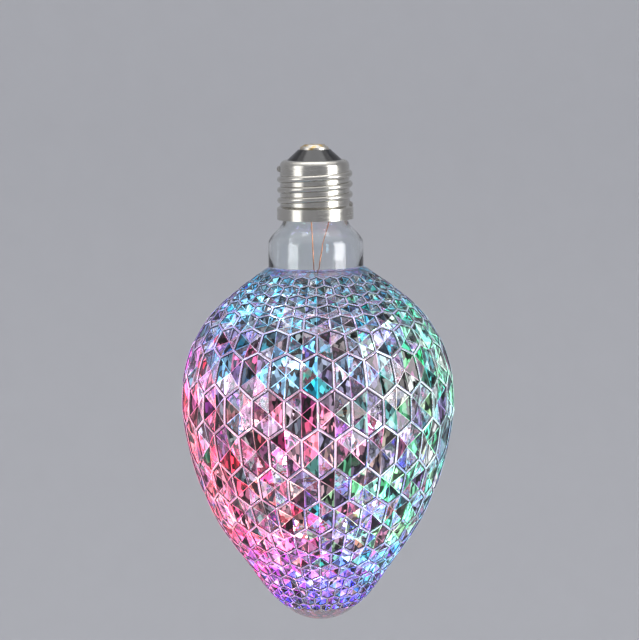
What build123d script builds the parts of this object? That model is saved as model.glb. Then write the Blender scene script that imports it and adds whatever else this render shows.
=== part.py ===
"""A strawberry-shaped light bulb: a clear honeycomb envelope on a 27 mm screw cap.

The bulb hangs cap up. Sizes are in millimetres, +Z points up through the cap, and
the origin is the centre of the cap's open rim. The front is towards -Y.
"""
from build123d import *
import math
import os

# Screw cap, from the common sizes of a 27 mm lamp cap
SKIRT_RADIUS = 13.3
SKIRT_HEIGHT = 4.0
SKIRT_STEP_HEIGHT = 0.8
THREAD_CREST_RADIUS = 13.15
THREAD_ROOT_RADIUS = 12.13
THREAD_PITCH = 3.629
THREAD_END_GAP = 0.9
THREAD_CREST_WIDTH = 2.2
THREAD_BITE = 0.25
SHELL_HEIGHT = 20.6
SHELL_WALL = 0.4
SHOULDER_RADIUS = 2.2
INSULATOR_TOP_RADIUS = 5.6
INSULATOR_CONE_HEIGHT = 3.6
INSULATOR_SEAT_DEPTH = 1.2
CONTACT_RADIUS = 5.0
CONTACT_FACE_RADIUS = 3.4
CONTACT_EDGE_HEIGHT = 0.7
CONTACT_DOME_HEIGHT = 1.0
CONTACT_STEM_RADIUS = 1.3
CONTACT_STEM_LENGTH = 5.4

# Envelope: collar in the cap, bare neck, patterned body and plain dome
COLLAR_RADIUS = 11.2
COLLAR_HEIGHT = 6.0
COLLAR_WALL = 1.2
FLARE_LENGTH = 8.5
NECK_RADIUS = 16.6
NECK_LENGTH = 8.5
NECK_WALL = 1.2
NECK_ROOT = 3.0
FOOT_STEP = 0.8
BODY_RADIUS = 47.8
BODY_HEIGHT = 125.0
DOME_RADIUS = 12.6
DOME_HEIGHT = 5.1
BODY_WALL = 0.9
OVERRUN = 1.0
# Outline of the body as shares of its height and of its radius
BODY_OUTLINE = [(0.056, 0.564), (0.132, 0.783), (0.224, 0.929), (0.389, 1.0),
                (0.556, 0.921), (0.712, 0.754), (0.848, 0.511), (0.942, 0.318)]

# Honeycomb: cells in a row, and each row's height along the wall, from the neck down.
# Ridges and cells are widest and deepest at the belly, and shrink with the body's radius.
CELLS_ROUND = 26
ROW_HEIGHTS = [4.6, 4.9, 4.9, 4.9, 6.7, 10.0, 13.7, 13.5, 14.7,
               11.6, 11.2, 8.8, 7.4, 6.0, 5.3, 4.6, 4.2, 3.8]
TOP_MARGIN = 3.5
BOTTOM_MARGIN = 0.8
EDGE_SHARE = 0.70
RIDGE_WIDTH = 1.5
LEAST_RIDGE_WIDTH = 0.6
CELL_DEPTH = 1.5
LEAST_CELL_DEPTH = 0.5

# Board holder, driver board and what is on it
FIT = 0.1
HOLDER_FLANGE_HEIGHT = 1.2
HOLDER_PLUG_DEPTH = 5.0
HOLDER_WALL = 1.3
HOLDER_FLOOR = 1.4
BOARD_WIDTH = 15.0
BOARD_TOP_GAP = 2.6
BOARD_THICKNESS = 1.2
BOARD_SEAT = 0.6
CHIP_SIZE = (5.0, 1.5, 4.0)
CHIP_LEG = (0.5, 0.5, 0.9)
CHIP_LEG_PITCH = 1.27
CHIP_LEGS = 4
CHIP_X = -3.8
CHIP_RISE = 8.0
RECTIFIER_SIZE = (4.0, 1.6, 3.6)
RECTIFIER_LEG_PITCH = 2.54
RECTIFIER_LEGS = 2
RECTIFIER_X = 2.8
RECTIFIER_DROP = 3.8
CAPACITOR_RADIUS = 3.1
CAPACITOR_HEIGHT = 8.0
CAPACITOR_LEAD_RADIUS = 0.3
CAPACITOR_RISE = 5.2
RESISTOR_RADIUS = 1.0
RESISTOR_LENGTH = 5.0
RESISTOR_SPAN = 7.0
RESISTOR_RISE = 2.6
SMALL_RESISTOR_SIZE = (1.6, 0.5, 0.8)
SMALL_RESISTOR_X = 5.6
SMALL_RESISTOR_DROPS = (2.6, 4.0)
LEAD_RADIUS = 0.4
LEAD_END_DROP = 1.8
LIVE_LEAD_X = -0.3
NEUTRAL_LEAD_X = 6.8
SOLDER_RADIUS = 0.9
SOLDER_TIP_RADIUS = 0.5
SOLDER_HEIGHT = 0.9

# Light string: two fine wires, side by side, in loose loops from the neck to the dome
WIRE_RADIUS = 0.2
WIRE_SPACING = 0.8
WIRE_CLEARANCE = 0.1
WIRE_ENTRIES = (-1.4, 4.9)
WIRE_TOP_DROP = 1.8
WIRE_EXIT_DROP = 1.2
WIRE_NECK_RISE = 1.5
LOOP_POINTS = 24
LOOP_STEP = -84.0
LOOP_START = 0.0
LOOP_SHARE = 0.80
LOOP_SWING = 0.07
LOOP_SWING_STEP = 2.3
CURVE_STEPS = 60
LOOP_TOP_DROP = 9.0
LOOP_BOTTOM_RISE = 10.1
BEND_SHARE = 0.45
BEAD_LENGTH = 3.2
BEAD_WIDTH = 2.0
BEAD_HEIGHT = 2.4
BEAD_CHAMFER = 0.6
BEAD_COLOURS = ["teal", "blue", "violet", "green", "teal", "violet", "pink", "green",
                "pink", "red", "pink", "teal", "green", "red", "pink", "blue",
                "green", "pink", "red", "violet", "teal", "blue", "pink"]

THREAD_BASE = SKIRT_HEIGHT + SKIRT_STEP_HEIGHT
THREAD_LENGTH = SHELL_HEIGHT - SHOULDER_RADIUS - THREAD_END_GAP - THREAD_BASE
JUNCTION_Z = -FLARE_LENGTH - NECK_LENGTH
TIP_Z = JUNCTION_Z - BODY_HEIGHT
HALF_CELL = math.pi / CELLS_ROUND
PATTERN_WALL = BODY_WALL + CELL_DEPTH
HOLDER_FLANGE_Z = COLLAR_HEIGHT
HOLDER_FLOOR_Z = HOLDER_FLANGE_Z - HOLDER_PLUG_DEPTH
BOARD_Z = HOLDER_FLOOR_Z + HOLDER_FLOOR - BOARD_SEAT
BOARD_TOP_Z = SHELL_HEIGHT - SHELL_WALL - INSULATOR_SEAT_DEPTH - BOARD_TOP_GAP
BOARD_FRONT_Y = -BOARD_THICKNESS / 2
WIRE_PLANE_Y = BOARD_FRONT_Y - WIRE_RADIUS
WIRE_TOP_Z = HOLDER_FLANGE_Z - WIRE_TOP_DROP
INSULATOR_TOP_Z = SHELL_HEIGHT + INSULATOR_CONE_HEIGHT
SHELL_OPENING = THREAD_ROOT_RADIUS - SHOULDER_RADIUS - SHELL_WALL
CAP_TOP_Z = INSULATOR_TOP_Z + CONTACT_EDGE_HEIGHT + CONTACT_DOME_HEIGHT


def revolved(*edges):
    """Solid of revolution about Z from a closed outline in the XZ plane."""
    return revolve(make_face(Wire(edges)), axis=Axis.Z)


def chain(points):
    """Straight edges that join the (radius, height) points in order."""
    corners = [(r, 0, z) for r, z in points]
    return [Line(a, b) for a, b in zip(corners, corners[1:])]


def body_profile():
    """Outer curve of the body, from the foot of the neck to the dome's rim."""
    points = [(NECK_RADIUS + FOOT_STEP, 0, JUNCTION_Z)]
    for height, radius in BODY_OUTLINE:
        points.append((radius * BODY_RADIUS, 0, JUNCTION_Z - height * BODY_HEIGHT))
    points.append((DOME_RADIUS, 0, TIP_Z + DOME_HEIGHT))
    return Spline(*points)


PROFILE = body_profile()


def on_profile(distance, depth=0.0):
    """(radius, height) at a distance along the body's curve, set in from it by depth."""
    place = PROFILE.position_at(distance, PositionMode.LENGTH)
    along = PROFILE.tangent_at(distance, PositionMode.LENGTH)
    return place.X + along.Z * depth, place.Z - along.X * depth


def tapered(least, most, distance):
    """Size that grows with the body's radius, from least on the axis to most at the belly."""
    return least + (most - least) * on_profile(distance)[0] / BODY_RADIUS


def half_ridge(distance):
    """Half of a ridge's width at a distance along the body's curve."""
    return tapered(LEAST_RIDGE_WIDTH, RIDGE_WIDTH, distance) / 2


def spun(point, angle):
    """A (radius, height) point turned about Z, with angle 0 at the front."""
    radius, height = point
    return Vector(radius * math.sin(angle), -radius * math.cos(angle), height)


def row_sizes():
    """Each row's (start, end of its upright edges, end of the row) along the wall."""
    scale = (PROFILE.length - BOTTOM_MARGIN) / (TOP_MARGIN + sum(ROW_HEIGHTS))
    start = TOP_MARGIN * scale
    rows = []
    for height in ROW_HEIGHTS:
        rows.append((start, start + EDGE_SHARE * height * scale, start + height * scale))
        start += height * scale
    return rows


ROWS = row_sizes()
FIRST_PEAK = ROWS[0][0] - (1 - EDGE_SHARE) * (ROWS[0][2] - ROWS[0][0])
TOP_EDGE = on_profile(FIRST_PEAK - half_ridge(FIRST_PEAK))
BOTTOM_EDGE = on_profile(ROWS[-1][2] + half_ridge(ROWS[-1][2]))


def cell_shape(row):
    """One cell's rim and centre in profile, with its rim set in by half a ridge."""
    start, end, peak_below = ROWS[row]
    peak_above = ROWS[row - 1][1] if row else FIRST_PEAK
    middle = (start + end) / 2
    inset = half_ridge(middle)
    slope_above = math.atan2(start - peak_above, on_profile(start)[0] * HALF_CELL)
    slope_below = math.atan2(peak_below - end, on_profile(end)[0] * HALF_CELL)
    upper = on_profile(start + inset * (1 / math.cos(slope_above) - math.tan(slope_above)))
    lower = on_profile(end - inset * (1 / math.cos(slope_below) - math.tan(slope_below)))
    return {"peak": on_profile(peak_above + inset / math.cos(slope_above)),
            "upper": upper,
            "lower": lower,
            "foot": on_profile(peak_below - inset / math.cos(slope_below)),
            "centre": on_profile(middle, tapered(LEAST_CELL_DEPTH, CELL_DEPTH, middle)),
            "upper_turn": HALF_CELL - inset / upper[0],
            "lower_turn": HALF_CELL - inset / lower[0]}


CELL_SHAPES = [cell_shape(row) for row in range(len(ROWS))]


def cell(row, column):
    """Corner points of one cell; every other row stands half a cell round."""
    shape = CELL_SHAPES[row]
    turn = (2 * column + row % 2) * HALF_CELL
    return {"peak": spun(shape["peak"], turn),
            "upper_left": spun(shape["upper"], turn - shape["upper_turn"]),
            "upper_right": spun(shape["upper"], turn + shape["upper_turn"]),
            "lower_left": spun(shape["lower"], turn - shape["lower_turn"]),
            "lower_right": spun(shape["lower"], turn + shape["lower_turn"]),
            "foot": spun(shape["foot"], turn),
            "centre": spun(shape["centre"], turn)}


def flat(*points):
    """Flat face on its corner points."""
    return Face(Wire.make_polygon(points, close=True))


def cell_faces(row, column):
    """Six facets that meet at the cell's sunk centre, and the upright ridge beside it."""
    this, beside = cell(row, column), cell(row, column + 1)
    names = ["peak", "upper_right", "lower_right", "foot", "lower_left", "upper_left"]
    rim = [this[name] for name in names]
    faces = [flat(a, b, this["centre"]) for a, b in zip(rim, rim[1:] + rim[:1])]
    faces.append(flat(this["upper_right"], beside["upper_left"],
                      beside["lower_left"], this["lower_right"]))
    return faces


def ridge_faces(row, column):
    """The two slanting ridges below a cell's right edge, and the knots at their ends."""
    this, beside = cell(row, column), cell(row, column + 1)
    below_right = cell(row + 1, column + row % 2)
    below_left = cell(row + 1, column + row % 2 - 1)
    return [flat(this["lower_right"], this["foot"], below_right["upper_left"]),
            flat(this["lower_right"], below_right["upper_left"], below_right["peak"]),
            flat(beside["lower_left"], below_right["peak"], below_right["upper_right"]),
            flat(beside["lower_left"], below_right["upper_right"], beside["foot"]),
            flat(this["lower_right"], beside["lower_left"], below_right["peak"]),
            flat(this["foot"], below_left["upper_right"], below_right["upper_left"])]


def edge_faces(row, column, edge, tip, left, right):
    """Plain band between an end row's zigzag and the polygon that closes the pattern."""
    this, beside = cell(row, column), cell(row, column + 1)
    turn = (2 * column + row % 2) * HALF_CELL
    first, middle, last = (spun(edge, turn + step * HALF_CELL) for step in range(3))
    return [flat(first, this[tip], this[right]), flat(first, this[right], middle),
            flat(middle, this[right], beside[left]), flat(middle, beside[left], last),
            flat(last, beside[left], beside[tip])]


def patterned_body():
    """Closed solid under the honeycomb, from the foot of the neck to the dome's rim."""
    last_row = len(ROWS) - 1
    faces = []
    for column in range(CELLS_ROUND):
        for row in range(len(ROWS)):
            faces += cell_faces(row, column)
            if row < last_row:
                faces += ridge_faces(row, column)
        faces += edge_faces(0, column, TOP_EDGE, "peak", "upper_left", "upper_right")
        faces += edge_faces(last_row, column, BOTTOM_EDGE, "foot", "lower_left", "lower_right")
    for edge in (TOP_EDGE, BOTTOM_EDGE):
        faces.append(flat(*[spun(edge, turn * HALF_CELL) for turn in range(2 * CELLS_ROUND)]))
    return Solid(Shell(faces))


def neck_and_collar(set_in, top_z, bottom_z):
    """Solid of the neck and collar, or of their hollow when set in by a wall."""
    collar = COLLAR_RADIUS - (COLLAR_WALL if set_in else 0)
    neck = NECK_RADIUS - (NECK_WALL if set_in else 0)
    flare = Spline((collar, 0, 0), (neck, 0, -FLARE_LENGTH),
                   tangents=[(0, 0, -1), (0, 0, -1)])
    return revolved(*chain([(0, top_z), (collar, top_z), (collar, 0)]), flare,
                    *chain([(neck, -FLARE_LENGTH), (neck, bottom_z), (0, bottom_z), (0, top_z)]))


def dome(rim_radius, rim_z, tip_z, root_z):
    """Shallow round cap that closes the body, on a short root inside it."""
    height = rim_z - tip_z
    sphere = (rim_radius ** 2 + height ** 2) / (2 * height)
    middle = rim_radius / 2
    middle_z = tip_z + sphere - math.sqrt(sphere ** 2 - middle ** 2)
    bowl = ThreePointArc((rim_radius, 0, rim_z), (middle, 0, middle_z), (0, 0, tip_z))
    return revolved(*chain([(0, root_z), (rim_radius, root_z), (rim_radius, rim_z)]), bowl,
                    *chain([(0, tip_z), (0, root_z)]))


def body_hollow():
    """Smooth inside of the body: one plain band behind each row of cells."""
    marks = [0.0] + [(start + end) / 2 for start, end, _ in ROWS] + [PROFILE.length]
    wall = [on_profile(mark, PATTERN_WALL) for mark in marks]
    return revolved(*chain([(0, wall[0][1])] + wall + [(0, wall[-1][1]), (0, wall[0][1])]))


def envelope():
    """Hollow clear envelope in one piece, open at its collar."""
    edge_radius = BOTTOM_EDGE[0] * math.cos(HALF_CELL)
    inner_rim = on_profile(PROFILE.length, PATTERN_WALL)
    outside = patterned_body()
    outside += neck_and_collar(False, COLLAR_HEIGHT, JUNCTION_Z - NECK_ROOT)
    outside += dome(edge_radius, BOTTOM_EDGE[1], TIP_Z, BOTTOM_EDGE[1] + OVERRUN)
    inside = body_hollow()
    inside += neck_and_collar(True, COLLAR_HEIGHT + OVERRUN, JUNCTION_Z - PATTERN_WALL - OVERRUN)
    inside += dome(inner_rim[0], inner_rim[1], TIP_Z + NECK_WALL, inner_rim[1] + OVERRUN)
    return outside - inside


def screw_shell():
    """Sheet sleeve with a plain skirt, a rolled round thread and a turned-in top."""
    top_of_wall = SHELL_HEIGHT - SHOULDER_RADIUS
    corner = SHOULDER_RADIUS * (1 - math.sqrt(0.5))
    sleeves = []
    for wall in (0.0, SHELL_WALL):
        skirt, root = SKIRT_RADIUS - wall, THREAD_ROOT_RADIUS - wall
        top, bend = SHELL_HEIGHT - wall, SHOULDER_RADIUS - wall
        low = -wall if wall else 0.0
        shoulder = ThreePointArc((root, 0, top_of_wall),
                                 (THREAD_ROOT_RADIUS - SHOULDER_RADIUS + bend * math.sqrt(0.5), 0,
                                  top_of_wall + bend * math.sqrt(0.5)),
                                 (THREAD_ROOT_RADIUS - SHOULDER_RADIUS, 0, top))
        sleeves.append(revolved(
            *chain([(0, low), (skirt, low), (skirt, SKIRT_HEIGHT), (root, THREAD_BASE),
                    (root, top_of_wall)]),
            shoulder,
            *chain([(THREAD_ROOT_RADIUS - SHOULDER_RADIUS, top), (0, top), (0, low)])))
    outside, inside = sleeves
    helix = Helix(THREAD_PITCH, THREAD_LENGTH, THREAD_ROOT_RADIUS,
                  center=(0, 0, THREAD_BASE))
    inner_edge = THREAD_ROOT_RADIUS - THREAD_BITE
    half = THREAD_CREST_WIDTH / 2
    crest = make_face(Wire([
        ThreePointArc((inner_edge, 0, THREAD_BASE - half), (THREAD_CREST_RADIUS, 0, THREAD_BASE),
                      (inner_edge, 0, THREAD_BASE + half)),
        Line((inner_edge, 0, THREAD_BASE + half), (inner_edge, 0, THREAD_BASE - half))]))
    thread = sweep(crest, path=helix, is_frenet=True)
    lip = Pos(0, 0, SHELL_HEIGHT - SHELL_WALL) * Cylinder(
        SHELL_OPENING, 2 * SHELL_WALL, align=(Align.CENTER, Align.CENTER, Align.MIN))
    return outside + thread - inside - lip


def cap_insulator():
    """Moulded cone that fills the shell's opening and carries the contact."""
    seat_z = SHELL_HEIGHT - SHELL_WALL
    bore = CONTACT_STEM_RADIUS + FIT / 2
    below = THREAD_ROOT_RADIUS - SHOULDER_RADIUS
    return revolved(*chain([(bore, seat_z - INSULATOR_SEAT_DEPTH), (below, seat_z - INSULATOR_SEAT_DEPTH),
                            (below, seat_z), (SHELL_OPENING, seat_z), (SHELL_OPENING, SHELL_HEIGHT),
                            (INSULATOR_TOP_RADIUS, INSULATOR_TOP_Z), (bore, INSULATOR_TOP_Z),
                            (bore, seat_z - INSULATOR_SEAT_DEPTH)]))


def centre_contact():
    """Rivet with a low domed head, a flat tip and a stem through the insulator."""
    edge_z = INSULATOR_TOP_Z + CONTACT_EDGE_HEIGHT
    return revolved(*chain([(0, INSULATOR_TOP_Z - CONTACT_STEM_LENGTH),
                            (CONTACT_STEM_RADIUS, INSULATOR_TOP_Z - CONTACT_STEM_LENGTH),
                            (CONTACT_STEM_RADIUS, INSULATOR_TOP_Z), (CONTACT_RADIUS, INSULATOR_TOP_Z),
                            (CONTACT_RADIUS, edge_z), (CONTACT_FACE_RADIUS, CAP_TOP_Z),
                            (0, CAP_TOP_Z), (0, INSULATOR_TOP_Z - CONTACT_STEM_LENGTH)]))


def basing_cement():
    """Ring of cement between the collar and the cap's skirt."""
    outer = SKIRT_RADIUS - SHELL_WALL
    return revolved(*chain([(COLLAR_RADIUS, 0), (outer, 0), (outer, SKIRT_HEIGHT),
                            (COLLAR_RADIUS, SKIRT_HEIGHT), (COLLAR_RADIUS, 0)]))


def board_holder():
    """Moulded cup in the collar's mouth; its flange rests on the collar's top."""
    bore = COLLAR_RADIUS - COLLAR_WALL
    plug = bore - FIT
    inside = plug - HOLDER_WALL
    flange_top = HOLDER_FLANGE_Z + HOLDER_FLANGE_HEIGHT
    floor_top = HOLDER_FLOOR_Z + HOLDER_FLOOR
    cup = revolved(*chain([(0, HOLDER_FLOOR_Z), (plug, HOLDER_FLOOR_Z), (plug, HOLDER_FLANGE_Z),
                           (COLLAR_RADIUS, HOLDER_FLANGE_Z), (COLLAR_RADIUS, flange_top),
                           (inside, flange_top), (inside, floor_top), (0, floor_top),
                           (0, HOLDER_FLOOR_Z)]))
    slot = Pos(0, 0, BOARD_Z) * Box(BOARD_WIDTH + 2 * FIT, BOARD_THICKNESS + 2 * FIT, HOLDER_FLOOR,
                                    align=(Align.CENTER, Align.CENTER, Align.MIN))
    cup -= slot
    for x in WIRE_ENTRIES:
        cup -= Pos(x, WIRE_PLANE_Y, HOLDER_FLOOR_Z - OVERRUN) * Cylinder(
            WIRE_RADIUS + WIRE_CLEARANCE, HOLDER_FLOOR + 2 * OVERRUN,
            align=(Align.CENTER, Align.CENTER, Align.MIN))
    return cup


def on_board(size, place, side=-1):
    """Block of (width, depth, height) that lies on the board's front or back."""
    width, depth, height = size
    x, z = place
    y = side * (BOARD_THICKNESS / 2 + depth / 2)
    return Pos(x, y, z) * Box(width, depth, height)


def legged_chip(size, place, pitch, legs):
    """Moulded block with a row of short legs along its top and bottom edges."""
    block = on_board(size, place)
    x, z = place
    for row in (-1, 1):
        for leg in range(legs):
            leg_x = x + (leg - (legs - 1) / 2) * pitch
            leg_z = z + row * (size[2] + CHIP_LEG[2]) / 2
            block += on_board(CHIP_LEG, (leg_x, leg_z))
    return block


def driver_board():
    """Plain board that stands in the holder's slot."""
    return Pos(0, 0, BOARD_Z) * Box(BOARD_WIDTH, BOARD_THICKNESS, BOARD_TOP_Z - BOARD_Z,
                                    align=(Align.CENTER, Align.CENTER, Align.MIN))


def smoothing_capacitor():
    """Round can on the back of the board, with two leads bent into its face."""
    z = BOARD_Z + CAPACITOR_RISE
    y = BOARD_THICKNESS / 2 + CAPACITOR_RADIUS
    can = Pos(0, y, z) * Cylinder(CAPACITOR_RADIUS, CAPACITOR_HEIGHT,
                                  align=(Align.CENTER, Align.CENTER, Align.MIN))
    for side in (-1, 1):
        lead_x = side * CAPACITOR_RADIUS / 2
        foot_z = z - 2 * CAPACITOR_LEAD_RADIUS
        drop = Pos(lead_x, y, foot_z) * Cylinder(CAPACITOR_LEAD_RADIUS, z - foot_z,
                                                 align=(Align.CENTER, Align.CENTER, Align.MIN))
        across = Pos(lead_x, BOARD_THICKNESS / 2, foot_z) * Rot(-90, 0, 0) * Cylinder(
            CAPACITOR_LEAD_RADIUS, CAPACITOR_RADIUS, align=(Align.CENTER, Align.CENTER, Align.MIN))
        can += drop + across
    return can


def fuse_resistor():
    """Round resistor across the board's back, on its two bent leads."""
    z = BOARD_Z + RESISTOR_RISE
    y = BOARD_THICKNESS / 2 + RESISTOR_RADIUS + FIT
    body = Pos(0, y, z) * Rot(0, 90, 0) * Cylinder(RESISTOR_RADIUS, RESISTOR_LENGTH)
    reach = (RESISTOR_SPAN - RESISTOR_LENGTH) / 2
    for side in (-1, 1):
        along = Pos(side * (RESISTOR_LENGTH + reach) / 2, y, z) * Rot(0, 90, 0) * Cylinder(
            CAPACITOR_LEAD_RADIUS, reach)
        down = Pos(side * RESISTOR_SPAN / 2, BOARD_THICKNESS / 2, z) * Rot(-90, 0, 0) * Cylinder(
            CAPACITOR_LEAD_RADIUS, RESISTOR_RADIUS + FIT, align=(Align.CENTER, Align.CENTER, Align.MIN))
        body += along + down
    return body


def bent_wire(points, radius, straight=0.0):
    """Round wire on straight runs joined by tangent arcs; prints its length and volume."""
    corners = [Vector(*point) for point in points]
    runs = [b - a for a, b in zip(corners, corners[1:])]
    radii = []
    for before, after in zip(runs, runs[1:]):
        shorter = min(before.length, after.length)
        turn = math.radians(before.get_angle(after))
        radii.append(min(BEND_SHARE * shorter, (shorter - straight) / 2) / math.tan(turn / 2))
    path = FilletPolyline(*corners, radius=radii) if radii else Line(*corners)
    wire = sweep(Plane(path @ 0, z_dir=path % 0) * Circle(radius), path=path)
    print(f"wire {path.length:.1f} mm, tightest bend {min(radii, default=0):.2f} mm, volume "
          f"{wire.volume:.2f} for {math.pi * radius ** 2 * path.length:.2f} mm3")
    return wire


def loop_points():
    """Uneven loops of the string, wound inside the wall from the neck to the dome."""
    top, bottom = JUNCTION_Z - LOOP_TOP_DROP, TIP_Z + LOOP_BOTTOM_RISE
    points = []
    for index in range(LOOP_POINTS):
        share = index / (LOOP_POINTS - 1)
        z = top + share * (bottom - top)
        angle = math.radians(LOOP_START + LOOP_STEP * index)
        radius = inner_radius(z) * (LOOP_SHARE + LOOP_SWING * math.sin(LOOP_SWING_STEP * index))
        points.append(spun((radius, z), angle))
    return points


def inner_radius(height):
    """Radius of the smooth inside of the body at a height."""
    marks = [index * PROFILE.length / CURVE_STEPS for index in range(CURVE_STEPS + 1)]
    wall = [on_profile(mark, PATTERN_WALL) for mark in marks]
    for (r0, z0), (r1, z1) in zip(wall, wall[1:]):
        if z1 <= height <= z0:
            return r0 + (r1 - r0) * (z0 - height) / (z0 - z1)
    return wall[-1][0] * (height - TIP_Z) / (wall[-1][1] - TIP_Z)


LOOPS = loop_points()


def string_wire(entry, offset, neck_x):
    """One of the two wires, from the board through the holder and down the loops."""
    top = [(entry, WIRE_PLANE_Y, WIRE_TOP_Z),
           (entry, WIRE_PLANE_Y, HOLDER_FLOOR_Z - WIRE_EXIT_DROP),
           (neck_x, WIRE_PLANE_Y, JUNCTION_Z + WIRE_NECK_RISE)]
    return bent_wire(top + [(p.X, p.Y, p.Z + offset) for p in LOOPS], WIRE_RADIUS,
                     BEAD_LENGTH + 2 * WIRE_CLEARANCE)


def led_bead(index):
    """Clear drop moulded round both wires at the middle of one run of the loops."""
    start, end = LOOPS[index], LOOPS[index + 1]
    along = (end - start).normalized()
    outward = along.cross(Vector(0, 0, 1)).normalized()
    between = (start + end) / 2 - Vector(0, 0, WIRE_SPACING / 2)
    frame = Plane(origin=between, x_dir=along, z_dir=outward.cross(along))
    bead = Box(BEAD_LENGTH, BEAD_WIDTH, BEAD_HEIGHT)
    bead = chamfer(bead.edges(), BEAD_CHAMFER)
    slot = Box(2 * BEAD_LENGTH, 2 * (WIRE_RADIUS + WIRE_CLEARANCE),
               WIRE_SPACING + 2 * (WIRE_RADIUS + WIRE_CLEARANCE))
    return frame * (bead - slot)


def live_lead():
    """Sleeved lead from the contact's stem down to the front of the board."""
    stem_z = INSULATOR_TOP_Z - CONTACT_STEM_LENGTH
    y = BOARD_FRONT_Y - LEAD_RADIUS
    return bent_wire([(0, 0, stem_z), (0, 0, stem_z - 2 * LEAD_RADIUS),
                      (LIVE_LEAD_X, y, BOARD_TOP_Z + 2 * LEAD_RADIUS),
                      (LIVE_LEAD_X, y, BOARD_TOP_Z - LEAD_END_DROP)], LEAD_RADIUS)


def neutral_lead():
    """Sleeved lead from the front of the board to the inside of the shell."""
    wall = THREAD_ROOT_RADIUS - SHELL_WALL - LEAD_RADIUS
    y = BOARD_FRONT_Y - LEAD_RADIUS
    z = BOARD_TOP_Z - LEAD_END_DROP
    return bent_wire([(NEUTRAL_LEAD_X, y, z), (BOARD_WIDTH / 2 + LEAD_RADIUS, y, z),
                      (wall, y, z - LEAD_END_DROP)], LEAD_RADIUS)


def solder_joint(x, z):
    """Low cone of solder on the board's front, at the end of a wire."""
    return Pos(x, BOARD_FRONT_Y, z) * Rot(90, 0, 0) * Cone(
        SOLDER_RADIUS, SOLDER_TIP_RADIUS, SOLDER_HEIGHT,
        align=(Align.CENTER, Align.CENTER, Align.MIN))


def write(name, shape):
    """Writes one piece to its own STEP file."""
    export_step(shape, f"parts/{name}.step")


os.makedirs("parts", exist_ok=True)
wires = {"string_wire_a": string_wire(WIRE_ENTRIES[0], 0.0, -WIRE_SPACING),
         "string_wire_b": string_wire(WIRE_ENTRIES[1], -WIRE_SPACING, WIRE_SPACING)}
leads = {"live_lead": live_lead(), "neutral_lead": neutral_lead()}
lead_end_z = BOARD_TOP_Z - LEAD_END_DROP
joints = [solder_joint(entry, WIRE_TOP_Z + SOLDER_RADIUS) for entry in WIRE_ENTRIES]
joints.append(solder_joint(LIVE_LEAD_X, lead_end_z - SOLDER_RADIUS))
joints.append(solder_joint(NEUTRAL_LEAD_X - SOLDER_RADIUS, lead_end_z))
write("envelope", envelope())
write("screw_shell", screw_shell())
write("cap_insulator", cap_insulator())
write("centre_contact", centre_contact())
write("basing_cement", basing_cement())
write("board_holder", board_holder())
write("driver_board", driver_board())
write("driver_chip", legged_chip(CHIP_SIZE, (CHIP_X, BOARD_Z + CHIP_RISE), CHIP_LEG_PITCH, CHIP_LEGS))
write("rectifier", legged_chip(RECTIFIER_SIZE, (RECTIFIER_X, BOARD_TOP_Z - RECTIFIER_DROP),
                               RECTIFIER_LEG_PITCH, RECTIFIER_LEGS))
write("smoothing_capacitor", smoothing_capacitor())
write("fuse_resistor", fuse_resistor())
write("chip_resistors", Compound([on_board(SMALL_RESISTOR_SIZE, (x, BOARD_TOP_Z - drop), 1)
                                  for x in (-SMALL_RESISTOR_X, SMALL_RESISTOR_X)
                                  for drop in SMALL_RESISTOR_DROPS]))
write("solder_joints", Compound(joints))
for name, wire in (wires | leads).items():
    write(name, wire)
for index in range(LOOP_POINTS - 1):
    write(f"led_{BEAD_COLOURS[index]}_{index + 1}", led_bead(index))
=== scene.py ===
"""Looks of a strawberry-shaped clear LED bulb, hung cap up in front of a plain grey sweep."""
import math

import bpy
import numpy as np
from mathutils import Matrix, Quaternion, Vector


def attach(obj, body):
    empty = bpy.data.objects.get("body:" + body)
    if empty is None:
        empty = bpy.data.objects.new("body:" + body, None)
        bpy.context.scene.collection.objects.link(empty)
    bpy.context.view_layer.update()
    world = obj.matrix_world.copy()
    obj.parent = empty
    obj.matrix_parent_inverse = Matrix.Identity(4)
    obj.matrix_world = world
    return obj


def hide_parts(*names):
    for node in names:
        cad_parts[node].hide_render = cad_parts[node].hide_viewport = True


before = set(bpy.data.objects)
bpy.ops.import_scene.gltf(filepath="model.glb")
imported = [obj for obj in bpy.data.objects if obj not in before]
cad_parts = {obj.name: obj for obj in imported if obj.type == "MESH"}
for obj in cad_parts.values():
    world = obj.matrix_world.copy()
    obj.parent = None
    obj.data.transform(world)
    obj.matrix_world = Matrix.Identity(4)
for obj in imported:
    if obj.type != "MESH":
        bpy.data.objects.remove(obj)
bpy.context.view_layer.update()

# Screw shell: one thin sleeve of nickel-plated sheet, rolled into a round thread.
# It is cemented round the envelope's collar. The rolling leaves fine rings round it, which
# are drawn wider than real ones.
MM = 0.001


def linear(hex_colour):
    """Linear RGBA of an sRGB hex colour: each channel c becomes ((c + 0.055) / 1.055) ** 2.4."""
    channels = [int(hex_colour[i:i + 2], 16) / 255 for i in (1, 3, 5)]
    curve = [c / 12.92 if c <= 0.04045 else ((c + 0.055) / 1.055) ** 2.4 for c in channels]
    return (*curve, 1.0)


def new_material(name, **settings):
    """Material with one Principled shader, whose sockets take the given settings."""
    material = bpy.data.materials.new(name)
    material.use_nodes = True
    shader = material.node_tree.nodes["Principled BSDF"]
    for socket, value in settings.items():
        shader.inputs[socket.replace("_", " ")].default_value = value
    return material, shader


def add_node(material, kind, settings=None, links=None, **inputs):
    """Adds a node, sets its properties and sockets, and links sockets to others' outputs."""
    node = material.node_tree.nodes.new(kind)
    for name, value in (settings or {}).items():
        setattr(node, name, value)
    for name, value in inputs.items():
        node.inputs[name.replace("_", " ")].default_value = value
    for name, output in (links or {}).items():
        material.node_tree.links.new(output, node.inputs[name])
    return node


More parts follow.
